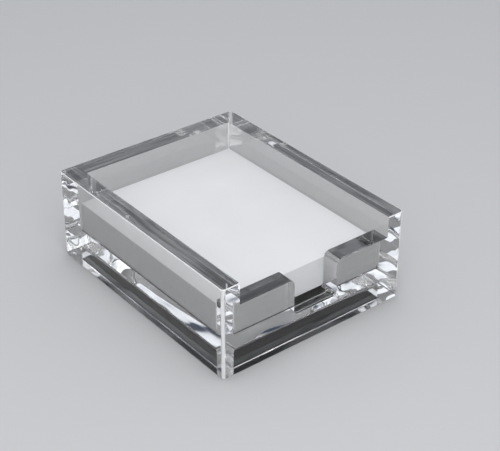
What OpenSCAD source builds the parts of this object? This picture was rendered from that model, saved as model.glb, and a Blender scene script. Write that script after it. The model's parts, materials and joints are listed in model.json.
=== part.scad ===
/* [Holder body] */
// Width of the moulded body across its two side walls
body_w = 102; // [80:0.5:140]
// Depth of the body from its open front to its back wall
body_d = 126.5; // [100:0.5:180]
// Height of the side and back walls above the desk
body_h = 46; // [40:0.5:70]
// Thickness of each side wall
side_wall = 9; // [5:0.5:12]
// Thickness of the back wall
back_wall = 10; // [5:0.5:14]
// Thickness of the low front wall
front_wall = 9; // [5:0.5:12]
// Radius of the four upright outer edges
edge_r = 1.75; // [1:0.05:3]
// Radius of the polished rim round the top and the foot of the outside
rim_r = 0.4; // [0.2:0.05:0.8]

/* [Tray] */
// Height of the tray floor above the desk
tray_floor = 17; // [14:0.5:20]
// Height of the low front wall above the desk
front_h = 35.3; // [30:0.1:38]
// Radius where the tray floor and the walls of the tray meet
tray_r = 0.7; // [0.4:0.05:1]

/* [Finger notch] */
// Width of the notch that parts the low front wall
notch_w = 24.5; // [18:0.5:34]
// Radius of the two shoulders at the top of the notch
shoulder_r = 2.3; // [1:0.1:4]
// Radius of the two corners at the foot of the notch
notch_foot_r = 2; // [1:0.1:4]

/* [Hollow underside] */
// Height of the hollow moulded into the underside
hollow_h = 8.9; // [6:0.1:10]
// Radius where the roof of the hollow and the walls meet
roof_r = 2; // [1:0.1:3]
// Radius of the walls' inner foot edges, round the mouth of the hollow
foot_r = 1; // [0.5:0.1:1.5]

/* [Notes] */
// Number of loose sheets in the holder
sheet_count = 100; // [20:1:110]
// Thickness of one sheet
sheet_t = 0.13; // [0.08:0.01:0.14]
// Air between two sheets as they lie
sheet_air = 0.02; // [0.01:0.01:0.03]
// Clearance of the sheets to each wall of the tray
note_gap = 1; // [0.75:0.05:1.5]
// How far a sheet may lie to one side of the middle of the pile
sheet_jog = 0.12; // [0:0.01:0.2]

/* [Hidden] */

// Fine enough for the curves to read as round in the viewer
$fn = 64;
// How far a cut runs past the face that it opens
overrun = 1;
// Clear moulded plastic and plain white paper
clear_plastic = [0.80, 0.85, 0.87, 0.35];
white_paper = [0.93, 0.93, 0.92];

// The tray between the walls
tray_w = body_w - 2 * side_wall;
tray_d = body_d - back_wall - front_wall;
tray_y = (front_wall - back_wall) / 2;
front_y = -body_d / 2;

// The sheets fit the tray with their clearance all round
sheet_w = tray_w - 2 * note_gap;
sheet_d = tray_d - 2 * note_gap;
sheet_pitch = sheet_t + sheet_air;
// Turn from one sheet's scatter to the next, so that no two in a row lie alike
jog_turn = 137.5;

// A rectangle about the origin with all four corners rounded
module rounded_rectangle(w, d, r) {
    square([w - 2 * r, d], center = true);
    square([w, d - 2 * r], center = true);
    for (x = [-1, 1], y = [-1, 1])
        translate([x * (w / 2 - r), y * (d / 2 - r)]) circle(r);
}

// A block on the desk with upright edges of one radius and a finer rim at top and foot
module rimmed_block(w, d, h, r, rim) {
    translate([0, 0, h / 2]) {
        rotate([90, 0, 90])
            linear_extrude(height = w - 2 * r, center = true)
                rounded_rectangle(d, h, rim);
        rotate([90, 0, 0])
            linear_extrude(height = d - 2 * r, center = true)
                rounded_rectangle(w, h, rim);
        for (x = [-1, 1], y = [-1, 1])
            translate([x * (w / 2 - r), y * (d / 2 - r), 0])
                rotate_extrude() rimmed_half(r, h, rim);
    }
}

// Half the section of an upright post, from its axis outwards
module rimmed_half(r, h, rim) {
    translate([0, -h / 2]) square([r - rim, h]);
    translate([0, rim - h / 2]) square([r, h - 2 * rim]);
    for (z = [-1, 1])
        translate([r - rim, z * (h / 2 - rim)]) circle(rim);
}

// A pocket that opens upwards, rounded along its floor and up its corners
module pocket(w, d, h, r) {
    translate([0, 0, r])
        linear_extrude(height = h - r) rounded_rectangle(w, d, r);
    linear_extrude(height = r) square([w - 2 * r, d - 2 * r], center = true);
    for (side = [-1, 1]) {
        translate([0, side * (d / 2 - r), r])
            rotate([0, 90, 0]) cylinder(h = w - 2 * r, r = r, center = true);
        translate([side * (w / 2 - r), 0, r])
            rotate([90, 0, 0]) cylinder(h = d - 2 * r, r = r, center = true);
        for (end = [-1, 1])
            translate([side * (w / 2 - r), end * (d / 2 - r), r]) sphere(r);
    }
}

// One corner to take away, down to the round centred at the origin, and on into the cut
// beside it
module shoulder(r) {
    difference() {
        translate([-r - overrun, 0]) square([r + overrun, r + overrun]);
        circle(r);
    }
}

// The notch seen from the front, its floor at zero and its shoulders at the wall's top
module notch_outline() {
    notch_h = front_h - tray_floor;
    difference() {
        translate([-notch_w / 2, 0]) square([notch_w, notch_h + overrun]);
        for (side = [-1, 1])
            scale([side, 1])
                translate([notch_w / 2 - notch_foot_r, notch_foot_r])
                    difference() {
                        translate([0, -notch_foot_r - overrun])
                            square([notch_foot_r + overrun, notch_foot_r + overrun]);
                        circle(notch_foot_r);
                    }
    }
    for (side = [-1, 1])
        scale([side, 1])
            translate([notch_w / 2 + shoulder_r, notch_h - shoulder_r])
                shoulder(shoulder_r);
}

// The section of the hollow, seen from the front or the side, with the desk at zero:
// upright walls, a round along each side of the roof and one outwards at each foot edge
module hollow_section(w) {
    rise = hollow_h - roof_r;
    translate([-w / 2, -overrun]) square([w, rise + overrun]);
    translate([roof_r - w / 2, -overrun]) square([w - 2 * roof_r, hollow_h + overrun]);
    for (side = [-1, 1]) {
        translate([side * (w / 2 - roof_r), rise]) circle(roof_r);
        scale([side, -1])
            translate([w / 2 + foot_r, -foot_r])
                shoulder(foot_r);
    }
}

// The hollow, with its rounds mitred and its upright corners crisp
module hollow() {
    translate([0, tray_y, 0])
        intersection() {
            rotate([90, 0, 0])
                linear_extrude(height = body_d, center = true) hollow_section(tray_w);
            rotate([90, 0, 90])
                linear_extrude(height = body_w, center = true) hollow_section(tray_d);
        }
}

module finger_notch() {
    translate([0, front_y + front_wall / 2, tray_floor])
        rotate([90, 0, 0])
            linear_extrude(height = front_wall + 2 * overrun, center = true)
                notch_outline();
}

// The thick clear body: three tall walls, a low front wall parted by the finger notch,
// a tray floor and, below it, a hollow underside that leaves the walls' feet as a rim
module holder_body() {
    color(clear_plastic)
        difference() {
            rimmed_block(body_w, body_d, body_h, edge_r, rim_r);
            translate([0, tray_y, tray_floor])
                pocket(tray_w, tray_d, body_h - tray_floor + overrun, tray_r);
            translate([0, front_y + front_wall / 2, front_h + body_h / 2])
                cube([tray_w, front_wall + 2 * overrun, body_h], center = true);
            finger_notch();
            hollow();
        }
}

// One loose sheet, counted from the bottom of the pile, a hair to one side of the middle
module sheet(i) {
    translate([sheet_jog * cos(i * jog_turn), tray_y + sheet_jog * sin(i * jog_turn),
               tray_floor + sheet_air + i * sheet_pitch + sheet_t / 2])
        cube([sheet_w, sheet_d, sheet_t], center = true);
}

module note_stack() {
    color(white_paper)
        for (i = [0 : sheet_count - 2]) sheet(i);
}

module top_sheet() {
    color(white_paper) sheet(sheet_count - 1);
}

holder_body();
note_stack();
top_sheet();
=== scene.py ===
# %% [markdown]
# # A memo pad holder of thick clear plastic, with its stack of notes
# The holder is one heavy moulding of clear plastic: three tall walls, a low front wall parted by
# a finger notch, a tray floor, and a hollow underside. A hundred loose white sheets lie in it.
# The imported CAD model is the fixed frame. It says where each piece is, and this script gives the
# pieces their finish, builds the studio round them and places the camera.

# %% Load the frame
import json
import math
import bmesh
import bpy
from mathutils import Matrix, Vector

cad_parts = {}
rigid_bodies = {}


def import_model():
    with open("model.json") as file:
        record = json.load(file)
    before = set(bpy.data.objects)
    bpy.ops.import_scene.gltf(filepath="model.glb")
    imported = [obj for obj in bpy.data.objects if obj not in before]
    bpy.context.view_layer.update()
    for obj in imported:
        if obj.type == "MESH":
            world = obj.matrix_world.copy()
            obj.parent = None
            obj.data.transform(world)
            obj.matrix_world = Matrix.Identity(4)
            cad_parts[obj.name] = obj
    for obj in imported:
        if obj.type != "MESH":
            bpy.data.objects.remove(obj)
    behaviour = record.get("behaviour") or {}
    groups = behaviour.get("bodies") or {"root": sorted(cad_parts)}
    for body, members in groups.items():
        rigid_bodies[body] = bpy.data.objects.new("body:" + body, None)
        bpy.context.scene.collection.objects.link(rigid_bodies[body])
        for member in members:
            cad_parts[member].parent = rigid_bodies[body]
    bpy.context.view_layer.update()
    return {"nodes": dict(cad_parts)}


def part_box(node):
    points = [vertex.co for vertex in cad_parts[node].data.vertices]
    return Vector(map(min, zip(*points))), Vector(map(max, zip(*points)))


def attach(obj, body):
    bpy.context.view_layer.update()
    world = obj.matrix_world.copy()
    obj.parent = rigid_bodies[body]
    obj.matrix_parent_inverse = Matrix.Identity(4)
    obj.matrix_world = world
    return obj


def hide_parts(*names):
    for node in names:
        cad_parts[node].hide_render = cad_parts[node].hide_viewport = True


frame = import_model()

MM = 0.001
scene = bpy.context.scene
low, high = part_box("holder_body")
print("CAD nodes:", sorted(frame["nodes"]))
print("The holder in millimetres:", [round(v / MM, 2) for v in (*low, *high)])

# %% [markdown]
# ## Sizes that the pieces share
# The outer sizes are read from the CAD frame. The rest are the holder's own few measures, in
# metres, as the maker of the mould would list them: its walls, its three heights, its notch and
# its rounds.

# %% Sizes of the holder
front_y, back_y = low.y, high.y
side_wall, back_wall, front_wall = 9 * MM, 10 * MM, 9 * MM
tray_floor, front_h, hollow_h = 17 * MM, 35.3 * MM, 8.9 * MM
notch_w = 24.5 * MM
edge_r, rim_r, tray_r = 1.75 * MM, 0.4 * MM, 0.7 * MM
roof_r, foot_r = 2 * MM, 1 * MM
shoulder_r, notch_foot_r = 2.3 * MM, 2 * MM
polish_r = 0.22 * MM
overrun = 1 * MM
tray_w = (high.x - low.x) - 2 * side_wall
tray_front, tray_back = front_y + front_wall, back_y - back_wall
print("Tray:", round(tray_w / MM, 2), "by", round((tray_back - tray_front) / MM, 2), "mm")

# %% [markdown]
# ## The outside block
# The holder starts as one block of the outer size. A clear block shows every face twice, once
# directly and once through the plastic, so its rounds have to be truly round. Bevels do that on a
# plain cube, and they stay easy to change. A helper makes a block from its two corners. Then it
# bevels each set of edges that a test picks out. The outside is rounded first up its four
# corners, then, finer, round its top and foot.

# %% Make the outside block
NEAR = 1e-6
EDGE_STEPS, RIM_STEPS = 10, 4


def round_edges(bm, edges, radius, steps):
    bmesh.ops.bevel(bm, geom=edges, offset=radius, offset_type="OFFSET", segments=steps,
                    profile=0.5, affect="EDGES", material=-1, clamp_overlap=True)


def block(name, corner_a, corner_b, rounds=()):
    a, b = Vector(corner_a), Vector(corner_b)
    bm = bmesh.new()
    bmesh.ops.create_cube(bm, size=1)
    bmesh.ops.scale(bm, vec=b - a, verts=bm.verts)
    bmesh.ops.translate(bm, vec=(a + b) / 2, verts=bm.verts)
    for test, radius, steps in rounds:
        chosen = [e for e in bm.edges if test(e.verts[0].co, e.verts[1].co)]
        round_edges(bm, chosen, radius, steps)
    bmesh.ops.recalc_face_normals(bm, faces=bm.faces)
    mesh = bpy.data.meshes.new(name)
    bm.to_mesh(mesh)
    bm.free()
    return bpy.data.objects.new(name, mesh)


def upright(p, q):
    return abs(p.x - q.x) < NEAR and abs(p.y - q.y) < NEAR


def at_height(z):
    return lambda p, q: abs(p.z - z) < NEAR and abs(q.z - z) < NEAR


def either(*tests):
    return lambda p, q: any(test(p, q) for test in tests)


body = block("clear_body", low, high, [
    (upright, edge_r, EDGE_STEPS),
    (either(at_height(low.z), at_height(high.z)), rim_r, RIM_STEPS),
])
print("Outside block:", len(body.data.vertices), "corners,", len(body.data.polygons), "faces")

# %% [markdown]
# ## The cores
# Four other blocks are the cores that leave the tray, the low front, the notch and the hollow, as
# the real mould has them. The faces could be drawn one by one, but cores are simpler to read. A
# core runs on past the face that it opens, so that no two faces lie in one plane.

# %% Make the cores
TRAY_STEPS, NOTCH_FOOT_STEPS, ROOF_STEPS = 5, 8, 8
above = high.z + overrun


def notch_foot(p, q):
    return at_height(tray_floor)(p, q) and abs(p.x - q.x) < NEAR


cores = [
    block("tray_core", (-tray_w / 2, tray_front, tray_floor), (tray_w / 2, tray_back, above),
          [(either(upright, at_height(tray_floor)), tray_r, TRAY_STEPS)]),
    block("front_core", (-tray_w / 2, front_y - overrun, front_h),
          (tray_w / 2, tray_front + overrun, above + overrun)),
    block("notch_core", (-notch_w / 2, front_y - 2 * overrun, tray_floor),
          (notch_w / 2, tray_front + overrun, above + 2 * overrun),
          [(notch_foot, notch_foot_r, NOTCH_FOOT_STEPS)]),
    block("hollow_core", (-tray_w / 2, tray_front, low.z - overrun),
          (tray_w / 2, tray_back, hollow_h), [(at_height(hollow_h), roof_r, ROOF_STEPS)]),
]
print("Cores:", ", ".join(core.name for core in cores))

# %% [markdown]
# ## The moulded body
# A Boolean modifier takes each core away from the block. Its exact solver is slower than the fast
# one, but it keeps flat faces flat and corners whole, which a clear block needs. The result is
# kept as a plain mesh, and the cores are removed.

# %% Take the cores away
for piece in [body, *cores]:
    scene.collection.objects.link(piece)
for core in cores:
    cut = body.modifiers.new(core.name, "BOOLEAN")
    cut.operation, cut.solver, cut.object = "DIFFERENCE", "EXACT", core
bpy.context.view_layer.update()
finished = body.evaluated_get(bpy.context.evaluated_depsgraph_get())
moulded = bpy.data.meshes.new_from_object(finished)
body.modifiers.clear()
body.data = moulded
for core in cores:
    bpy.data.objects.remove(core)
print("Moulded body:", len(moulded.vertices), "corners,", len(moulded.polygons), "faces")

# %% [markdown]
# ## The notch's shoulders and the walls' feet
# The two upper corners of the notch and the inner edges of the walls' feet are rounded on the
# moulded body itself, where the cores have left them sharp. These rounds turn outwards, so a
# block's own bevels can't give them.

# %% Round the shoulders and the feet
WELD = 1e-7
SHOULDER_STEPS, FOOT_STEPS = 9, 5


def beside_notch(v):
    return abs(abs(v.co.x) - notch_w / 2) < NEAR


def in_hollow(v):
    return abs(v.co.x) < tray_w / 2 + NEAR and tray_front - NEAR < v.co.y < tray_back + NEAR


def edges_at(bm, z, belongs):
    return [e for e in bm.edges
            if at_height(z)(e.verts[0].co, e.verts[1].co) and all(belongs(v) for v in e.verts)]


bm = bmesh.new()
bm.from_mesh(moulded)
bmesh.ops.remove_doubles(bm, verts=bm.verts, dist=WELD)
shoulders, feet = edges_at(bm, front_h, beside_notch), edges_at(bm, low.z, in_hollow)
rounded = len(shoulders), len(feet)
round_edges(bm, shoulders, shoulder_r, SHOULDER_STEPS)
round_edges(bm, feet, foot_r, FOOT_STEPS)
bmesh.ops.dissolve_degenerate(bm, dist=WELD, edges=bm.edges)
for face in bm.faces:
    face.smooth = True
bm.to_mesh(moulded)
bm.free()
print("Shoulder and foot edges rounded:", rounded)

# %% [markdown]
# ## Polished edges
# The maker polishes every edge that is still sharp, so it gets a fine round. A Bevel modifier
# finds those edges by their angle, which is surer than picking them by hand. Weighted normals
# keep the broad faces flat, because a clear block with soft shading looks like a lens. The body
# then rides on its pack body and stands for its CAD node.

# %% Polish the edges and seat the body
POLISH_STEPS, SHARP_ANGLE, FLAT_WEIGHT = 3, math.radians(40), 100
polish = body.modifiers.new("polished_edges", "BEVEL")
polish.width, polish.segments, polish.limit_method = polish_r, POLISH_STEPS, "ANGLE"
polish.angle_limit = SHARP_ANGLE
polish.miter_outer = "MITER_SHARP"
flat = body.modifiers.new("flat_faces", "WEIGHTED_NORMAL")
flat.keep_sharp, flat.weight = True, FLAT_WEIGHT
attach(body, "holder")
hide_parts("holder_body")
print("Polished round on the sharp edges:", round(polish_r / MM, 2), "mm")

# %% [markdown]
# ## Clear plastic: the start of its material
# The clear plastic is one material: a glass with waves where it is thick, haze where it is worn,
# and a painted highlight on its edges. Its nodes could be placed by hand in the Shader Editor, but
# in a script two helpers are shorter. One starts a material, and one adds a node, sets its plain
# values and links its inputs.
# The finish depends on the place on the block, so the material starts from object coordinates.
# Short helpers then work on such a place: its size without the sign, a product, the largest of
# some values, and a fade from one value to another.

# %% Start the clear plastic
def new_material(name):
    material = bpy.data.materials.new(name)
    material.use_nodes = True
    tree = material.node_tree
    tree.nodes.clear()
    return material, tree


def node(tree, kind, settings=None, **inputs):
    made = tree.nodes.new(kind)
    for key, value in (settings or {}).items():
        setattr(made, key, value)
    for key, value in inputs.items():
        socket = made.inputs[int(key[1:]) if key[1:].isdigit() else key.replace("_", " ")]
        if isinstance(value, bpy.types.NodeSocket):
            tree.links.new(value, socket)
        else:
            socket.default_value = value
    return made


clear, tree = new_material("water_clear_plastic")
where = node(tree, "ShaderNodeTexCoord").outputs["Object"]
spot = node(tree, "ShaderNodeSeparateXYZ", Vector=where).outputs
print("Started the material:", clear.name)

# %% Sizes, products and fades of a place
def maths(tree, operation, *values):
    inputs = {"_%d" % i: value for i, value in enumerate(values)}
    return node(tree, "ShaderNodeMath", {"operation": operation}, **inputs).outputs[0]


def size_of(tree, value):
    return maths(tree, "ABSOLUTE", value)


def product(tree, first, *others):
    for other in others:
        first = maths(tree, "MULTIPLY", first, other)
    return first


def largest(tree, first, *others):
    for other in others:
        first = maths(tree, "MAXIMUM", first, other)
    return first


def fade(tree, value, start, end, at_start=0.0, at_end=1.0):
    made = node(tree, "ShaderNodeMapRange", Value=value, From_Min=start, From_Max=end,
                To_Min=at_start, To_Max=at_end)
    return made.outputs[0]


far_x, far_y, height = size_of(tree, spot["X"]), size_of(tree, spot["Y"]), spot["Z"]
print("The clear plastic has", len(tree.nodes), "nodes so far")

# %% [markdown]
# ## Clear plastic: its waves
# The real moulding is water-clear with polished faces, but it isn't perfect. Thick plastic sinks
# a little as it cools, so the faces of the base and of the corner posts are faintly wavy, and
# that is what bends the light there. The thinner walls stay flat. A wave in the mesh would need a
# great many faces, so the wave is a slow noise on the faces' normals, masked by where the plastic
# is thick. It dies out just under the walls' tops, and it is calmer at the front left corner,
# where the real block is clearer.

# %% Waves where the plastic is thick
WAVE_SCALE, WAVE_DEPTH, LEAST_WAVE = 55.0, 0.50 * MM, 0.03
POST_IN_X, POST_OUT_X, POST_IN_Y, POST_OUT_Y = 2 * MM, 1 * MM, 1.75 * MM, 1.25 * MM
BASE_BLUR, FLAT_TOP, WAVY_TOP = 0.5 * MM, 0.5 * MM, 3 * MM
CALM_END, ROUGH_START, CALM_SHARE = -80 * MM, -45 * MM, 0.3


def noise(tree, where, scale, detail, **inputs):
    made = node(tree, "ShaderNodeTexNoise", Vector=where, Scale=scale, Detail=detail, **inputs)
    return made.outputs["Fac"]


post_x = fade(tree, far_x, tray_w / 2 - POST_IN_X, tray_w / 2 + POST_OUT_X)
post_y = fade(tree, far_y, tray_back - POST_IN_Y, tray_back + POST_OUT_Y)
base = fade(tree, height, tray_floor + BASE_BLUR, tray_floor - BASE_BLUR)
thick = largest(tree, product(tree, post_x, post_y), base)
under_top = fade(tree, height, high.z - FLAT_TOP, high.z - WAVY_TOP, LEAST_WAVE, 1.0)
from_corner = maths(tree, "ADD", spot["X"], spot["Y"])
calm = fade(tree, from_corner, CALM_END, ROUGH_START, CALM_SHARE, 1.0)
sunk = largest(tree, product(tree, thick, under_top, calm), LEAST_WAVE)
swell = noise(tree, where, WAVE_SCALE, detail=0.0)
waves = node(tree, "ShaderNodeBump", Height=swell, Strength=sunk,
             Distance=WAVE_DEPTH).outputs["Normal"]
print("Waves about", round(1 / WAVE_SCALE / MM, 1), "mm apart")

# %% [markdown]
# ## Clear plastic: painted highlights on the edges
# The outer edges, the rims and the shoulders get a matt white on their rounds: a painted highlight
# that stands in for the bright lines of light they catch, and shows as a pale line. The white
# could be painted in a picture, but a round turns away from all three axes, so the faces' own
# normals show where the edges are, with no picture. It is weaker round the notch. It is softer
# round the notch, where fingers rub it smooth.

# %% Painted highlights on the edges and rims
# The first two numbers set how strong the painted highlight is on the edges and on the rims.
EDGE_HIGHLIGHT, RIM_HIGHLIGHT, NOTCH_SHARE = 0.70, 0.90, 0.35
EDGE_FLAT, EDGE_ROUND, RIM_FLAT, RIM_ROUND = 0.992, 0.90, 0.998, 0.97
NOTCH_BLUR, NOTCH_REACH, LEAST_TURN = 1 * MM, 20 * MM, 0.05


def over(tree, value, limit):
    return maths(tree, "GREATER_THAN", value, limit)


facing = node(tree, "ShaderNodeNewGeometry").outputs["True Normal"]
turn = node(tree, "ShaderNodeSeparateXYZ", Vector=facing).outputs
turn_x, turn_y, level = (size_of(tree, turn[axis]) for axis in "XYZ")
flatness = largest(tree, turn_x, turn_y, level)
notch_end = notch_w / 2 + shoulder_r
past_notch = fade(tree, far_x, notch_end, notch_end + NOTCH_BLUR, NOTCH_SHARE, 1.0)
# The next two masks paint a highlight: white on the rounds of the edges and rims, for the bright
# lines of light that they catch.
edge_highlight_mask = product(tree, fade(tree, flatness, EDGE_FLAT, EDGE_ROUND, 0.0, EDGE_HIGHLIGHT), past_notch)
rim_highlight_mask = product(tree, over(tree, level, LEAST_TURN),
                  fade(tree, flatness, RIM_FLAT, RIM_ROUND, 0.0, RIM_HIGHLIGHT))
off_notch = largest(tree, over(tree, far_x, NOTCH_REACH), over(tree, turn_y, LEAST_TURN))
# Together they are the painted highlight on the edges and rims.
edges = largest(tree, edge_highlight_mask, product(tree, rim_highlight_mask, off_notch))
print("Haze on the edges and the rims:", EDGE_HIGHLIGHT, RIM_HIGHLIGHT)

# %% [markdown]
# ## Clear plastic: scuffs and polish marks
# The walls have faint slanted scuffs from sheets that go in and out. The tops of the tall walls
# have marks from polishing, which run lengthways: along Y on the side walls and along X on the
# back wall. Both are noises stretched along the stroke, which gives strokes of no fixed length.

# %% Scuffs on the walls
SCUFF_HAZE, SCUFF_SCALE, SCUFF_START, SCUFF_FULL = 0.06, 90.0, 0.50, 0.75
SCUFF_TURN, SCUFF_STRETCH = (0.5, 0.4, 0.6), (1.0, 7.0, 4.0)
WALL_BELOW, WALL_ABOVE = 1 * MM, 3 * MM


def stretched(tree, where, **inputs):
    return node(tree, "ShaderNodeMapping", Vector=where, **inputs).outputs[0]


slanted = stretched(tree, where, Rotation=SCUFF_TURN, Scale=SCUFF_STRETCH)
rubbed = noise(tree, slanted, SCUFF_SCALE, detail=4.0, Roughness=0.65)
on_walls = fade(tree, height, tray_floor - WALL_BELOW, tray_floor + WALL_ABOVE, 0.0, SCUFF_HAZE)
scuffs = product(tree, fade(tree, rubbed, SCUFF_START, SCUFF_FULL), on_walls)
print("Haze of the scuffs:", SCUFF_HAZE)

# %% Polish marks on the tops of the tall walls
MARK_HAZE, MARK_SCALE, MARK_START, MARK_FULL = 0.15, 110.0, 0.42, 0.62
ACROSS, ALONG, ABOVE_FRONT, LEVEL_FACE = 9.0, 0.2, 1 * MM, 0.98
along_sides = stretched(tree, where, Scale=(ACROSS, ALONG, 1.0))
along_back = stretched(tree, where, Scale=(ALONG, ACROSS, 1.0))
side_marks = noise(tree, along_sides, MARK_SCALE, detail=1.0)
back_marks = noise(tree, along_back, MARK_SCALE, detail=1.0)
marks = node(tree, "ShaderNodeMix", {"data_type": "FLOAT"}, Factor=over(tree, far_x, tray_w / 2),
             A=back_marks, B=side_marks).outputs[0]
on_tops = product(tree, over(tree, level, LEVEL_FACE), over(tree, height, front_h + ABOVE_FRONT))
polish_marks = product(tree, fade(tree, marks, MARK_START, MARK_FULL, 0.0, MARK_HAZE), on_tops)
print("Haze of the polish marks:", MARK_HAZE)

# %% [markdown]
# ## Clear plastic: glass, haze and painted highlights together
# The faces are smooth glass with a grey tint, darker than the plastic's own, that dims what shows
# through as painted shade. The haze is a matt white that lies over it by the share that the wear
# and the painted highlights give. It stays off the hollow and off the tray's foot: only the outer
# skin and the walls above the tray floor get it.

# %% Clear faces under their haze and painted highlights
# The glass tint is darker than the clear plastic's own: it dims what shows through as painted
# shade.
SHADING_GLASS_TINT, GLASS_INDEX, HAZE_AND_HIGHLIGHT_TONE = (0.81, 0.807, 0.80, 1), 1.49, (0.93, 0.93, 0.93, 1)
SKIN = 0.8 * MM
glass = node(tree, "ShaderNodeBsdfPrincipled", Base_Color=SHADING_GLASS_TINT, Roughness=0.0,
             IOR=GLASS_INDEX, Transmission_Weight=1.0, Normal=waves)
# One matt white serves both the wear and the painted highlights on the edges.
haze_and_highlight = node(tree, "ShaderNodeBsdfDiffuse", Color=HAZE_AND_HIGHLIGHT_TONE)
outer_skin = largest(tree, over(tree, far_x, high.x - SKIN), over(tree, far_y, high.y - SKIN))
skin_and_upper_walls = largest(tree, outer_skin, over(tree, height, tray_floor + WALL_ABOVE))
wear_and_highlight = product(tree, largest(tree, edges, scuffs, polish_marks), skin_and_upper_walls)
worn_and_highlit = node(tree, "ShaderNodeMixShader", _0=wear_and_highlight, _1=glass.outputs[0], _2=haze_and_highlight.outputs[0])
print("Clear plastic of index", GLASS_INDEX)

# %% [markdown]
# ## Light through the block
# Lamps reach what lies behind an upright wall. To follow each bent ray of theirs would take very
# many samples, so their rays pass the plastic straight and a little tinted. Below the tray floor
# the light has crossed the whole base and most of it has left by the sides. So little comes out
# round the edges of the hollow, which stays dark, apart from a few streaks near the foot: painted
# light from a noise in the lamps' tint, standing in for caustics. The middle of the base lets the
# light through: the notes shade it while they lie in the tray, and it brightens when they are
# lifted out.

# %% What the lamps' rays meet
WALL_TINT, FOOT_TINT, ROOF_TINT, MIDDLE_TINT = 0.76, 0.03, 0.005, 0.65
MIDDLE_START, MIDDLE_END = 10 * MM, 24 * MM
STEEP, LEVEL = 0.3, 0.9
ROOF_ABOVE, FLOOR_BELOW = 1.1 * MM, 1 * MM
edge_tint = fade(tree, level, STEEP, LEVEL, FOOT_TINT, ROOF_TINT)
middle_x = fade(tree, far_x, tray_w / 2 - MIDDLE_START, tray_w / 2 - MIDDLE_END)
middle_y = fade(tree, far_y, tray_back - MIDDLE_START, tray_back - MIDDLE_END)
under = largest(tree, edge_tint, product(tree, middle_x, middle_y, MIDDLE_TINT))
tint = fade(tree, height, hollow_h + ROOF_ABOVE, tray_floor - FLOOR_BELOW, under, WALL_TINT)
print("Share of light that a wall lets through:", WALL_TINT)

# %% Painted caustic streaks near the foot, and the clear plastic put together
STREAK, STREAK_SCALE, STREAK_START, STREAK_FULL = 0.25, 110.0, 0.52, 0.70
FOOT_END, FOOT_FULL = 1.5 * MM, 0.2 * MM
# A noise in the lamps' tint near the foot paints streaks of light, standing in for caustics.
painted_caustic_noise = noise(tree, where, STREAK_SCALE, detail=2.0, Distortion=1.5)
streaks = product(tree, fade(tree, painted_caustic_noise, STREAK_START, STREAK_FULL, 0.0, STREAK),
                  fade(tree, height, FOOT_END, FOOT_FULL))
film = node(tree, "ShaderNodeBsdfTransparent", Color=largest(tree, tint, streaks))
ray = node(tree, "ShaderNodeLightPath").outputs
lamps = largest(tree, ray["Is Shadow Ray"], ray["Is Diffuse Ray"])
seen = node(tree, "ShaderNodeMixShader", _0=lamps, _1=worn_and_highlit.outputs[0], _2=film.outputs[0])
node(tree, "ShaderNodeOutputMaterial", Surface=seen.outputs[0])
body.data.materials.clear()
body.data.materials.append(clear)
print("Clear plastic:", len(tree.nodes), "nodes")

# %% [markdown]
# ## Note paper
# Plain white writing paper is matt and a little cool. Up close it has a faint cloudy fibre, which
# a fine noise gives in tone and in relief, and a slow second noise keeps a large sheet from
# looking like one flat colour.

# %% Material of the notes
FIBRE_SCALE, CLOUD_SCALE, CLOUD_SHARE = 2600.0, 45.0, 0.6
PAPER_TONES = [(0.45, (0.745, 0.75, 0.755, 1)), (1.15, (0.79, 0.795, 0.802, 1))]
PAPER_ROUGHNESS, PAPER_SHEEN, RELIEF, RELIEF_DEPTH = 0.85, 0.25, 0.25, 0.04 * MM
paper, tree = new_material("white_note_paper")
where = node(tree, "ShaderNodeTexCoord").outputs["Object"]
fibre = noise(tree, where, FIBRE_SCALE, detail=3.0, Roughness=0.6)
cloud = noise(tree, where, CLOUD_SCALE, detail=2.0, Roughness=0.5)
tone = node(tree, "ShaderNodeValToRGB", Fac=maths(tree, "MULTIPLY_ADD", cloud, CLOUD_SHARE, fibre))
for stop, (place, colour) in zip(tone.color_ramp.elements, PAPER_TONES):
    stop.position, stop.color = place, colour
relief = node(tree, "ShaderNodeBump", Height=fibre, Strength=RELIEF, Distance=RELIEF_DEPTH)
matt = node(tree, "ShaderNodeBsdfPrincipled", Base_Color=tone.outputs["Color"],
            Roughness=PAPER_ROUGHNESS, Specular_IOR_Level=PAPER_SHEEN,
            Normal=relief.outputs["Normal"])
node(tree, "ShaderNodeOutputMaterial", Surface=matt.outputs[0])
for name in ("note_stack", "top_sheet"):
    sheets = frame["nodes"][name]
    sheets.data.materials.clear()
    sheets.data.materials.append(paper)
print("Paper on:", "note_stack, top_sheet")

# %% [markdown]
# ## Floor
# A plain, matt, pale floor carries the holder. It is a wide circle, so that no corner of it comes
# into view from any side. It lies a hair under the feet, so that the two faces don't share a
# plane.

# %% A round floor under the holder
FLOOR_RADIUS, FLOOR_SIDES, FLOOR_GAP = 7.5, 96, 0.05 * MM
FLOOR_TONE, FLOOR_ROUGHNESS = (0.585, 0.587, 0.593, 1), 0.9
floor_mesh = bpy.data.meshes.new("studio_floor")
bm = bmesh.new()
bmesh.ops.create_circle(bm, cap_ends=True, segments=FLOOR_SIDES, radius=FLOOR_RADIUS)
bmesh.ops.translate(bm, vec=(0, 0, low.z - FLOOR_GAP), verts=bm.verts)
bm.to_mesh(floor_mesh)
bm.free()
floor = bpy.data.objects.new("studio_floor", floor_mesh)
scene.collection.objects.link(floor)
pale, tree = new_material("pale_floor")
plain = node(tree, "ShaderNodeBsdfPrincipled", Base_Color=FLOOR_TONE, Roughness=FLOOR_ROUGHNESS,
             Specular_IOR_Level=0.0)
node(tree, "ShaderNodeOutputMaterial", Surface=plain.outputs[0])
floor_mesh.materials.append(pale)
print("Floor:", 2 * FLOOR_RADIUS, "m across")

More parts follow.
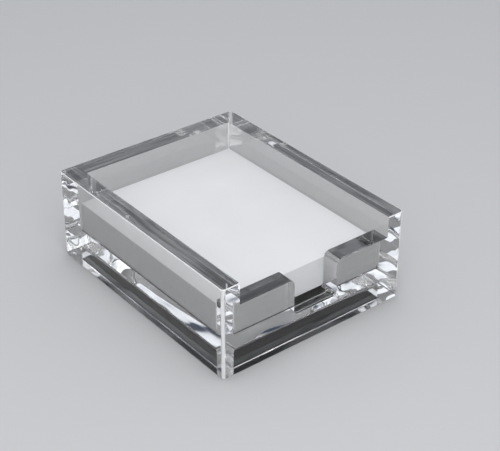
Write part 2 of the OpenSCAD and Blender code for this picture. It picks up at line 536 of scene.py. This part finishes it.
# %% [markdown]
# ## Sky
# Clear plastic has no colour of its own: it shows what stands round it, and an even sky would
# leave it looking flat. So the sky has level bands, like the screens and lamps of a
# photographer's studio. From the horizon up they are a pale one, a dark screen, a bright ring
# that dims upwards, a second dark ring, and a pale top. The bright ring is what the walls' tops
# mirror, and together the bands draw the streaks in the base and in the posts.

# %% Sky in level bands
HORIZON, SCREEN, ZENITH = (0.60, 0.60, 0.62, 1), (0.010, 0.016, 0.030, 1), (0.70, 0.70, 0.70, 1)
RING, DIM_RING, DARK_RING = (1.22, 1.27, 1.35, 1), (0.98, 1.02, 1.10, 1), (0.020, 0.035, 0.075, 1)
BANDS = [(0.0, HORIZON), (0.16, HORIZON), (0.25, SCREEN), (0.43, SCREEN), (0.455, RING),
         (0.54, RING), (0.60, DIM_RING), (0.63, DARK_RING), (0.76, DARK_RING), (0.82, ZENITH),
         (1.0, ZENITH)]
world = bpy.data.worlds.new("studio_sky")
scene.world = world
world.use_nodes = True
tree = world.node_tree
tree.nodes.clear()
look = node(tree, "ShaderNodeTexCoord").outputs["Generated"]
rise = node(tree, "ShaderNodeSeparateXYZ", Vector=look).outputs["Z"]
shade = node(tree, "ShaderNodeValToRGB", Fac=rise)
stops = shade.color_ramp.elements
while len(stops) < len(BANDS):
    stops.new(0.5)
for stop, (place, colour) in zip(stops, BANDS):
    stop.position, stop.color = place, colour
sky = node(tree, "ShaderNodeBackground", Color=shade.outputs["Color"], Strength=1.0)
node(tree, "ShaderNodeOutputWorld", Surface=sky.outputs[0])
print("Sky bands end at:", [place for place, _ in BANDS])

# %% [markdown]
# ## Lamps
# The light is soft. A large lamp stands high in front on the left, and a weaker one hangs
# overhead. Area lamps give the soft edge to the shadows that a studio's light boxes give.

# %% Two soft lamps
LAMPS = {
    "overhead_lamp": {"place": (0.1, 0.1, 1.3), "aim": (0, 0, 0), "size": (1.0, 1.0),
                      "watts": 3.0},
    "front_lamp": {"place": (-0.55, -0.90, 0.83), "aim": (0, 0, 0.02), "size": (1.2, 1.1),
                   "watts": 11.0},
}


def soft_lamp(name, place, aim, size, watts):
    data = bpy.data.lights.new(name, "AREA")
    data.shape, data.size, data.size_y, data.energy = "RECTANGLE", size[0], size[1], watts
    lamp = bpy.data.objects.new(name, data)
    lamp.location = place
    lamp.rotation_euler = (Vector(aim) - Vector(place)).to_track_quat("-Z", "Y").to_euler()
    scene.collection.objects.link(lamp)


for name, facts in LAMPS.items():
    soft_lamp(name, **facts)
print("Lamps:", ", ".join(LAMPS))

# %% [markdown]
# ## Camera and colour
# The camera stands in front of the holder, to its left, and looks down on it at about 32 degrees
# through a long lens. Colours are shown plainly, with the Standard view. Light may be turned back
# many times within the block, so it gets as many bounces, because a path that is cut short is
# black.

# %% Camera
FOCAL_LENGTH, SENSOR, NEAREST, FARTHEST = 93.67, 36.0, 0.01, 20.0
BOUNCES = 40
eye = Vector((-0.31278, -0.41022, 0.34627))
right = Vector((0.783679, -0.621160, 0.002838)).normalized()
ahead = Vector((0.529357, 0.665451, -0.526266)).normalized()
over_head = right.cross(ahead).normalized()
lens = bpy.data.cameras.new("camera")
lens.lens, lens.sensor_width = FOCAL_LENGTH, SENSOR
lens.clip_start, lens.clip_end = NEAREST, FARTHEST
camera = bpy.data.objects.new("camera", lens)
camera.matrix_world = Matrix((right, over_head, -ahead)).transposed().to_4x4()
camera.location = eye
scene.collection.objects.link(camera)
scene.camera = camera
scene.view_settings.view_transform = "Standard"
scene.cycles.max_bounces = scene.cycles.transparent_max_bounces = BOUNCES
scene.cycles.transmission_bounces = scene.cycles.glossy_bounces = BOUNCES
print("Camera distance to the holder:", round((eye - (low + high) / 2).length, 3), "m")
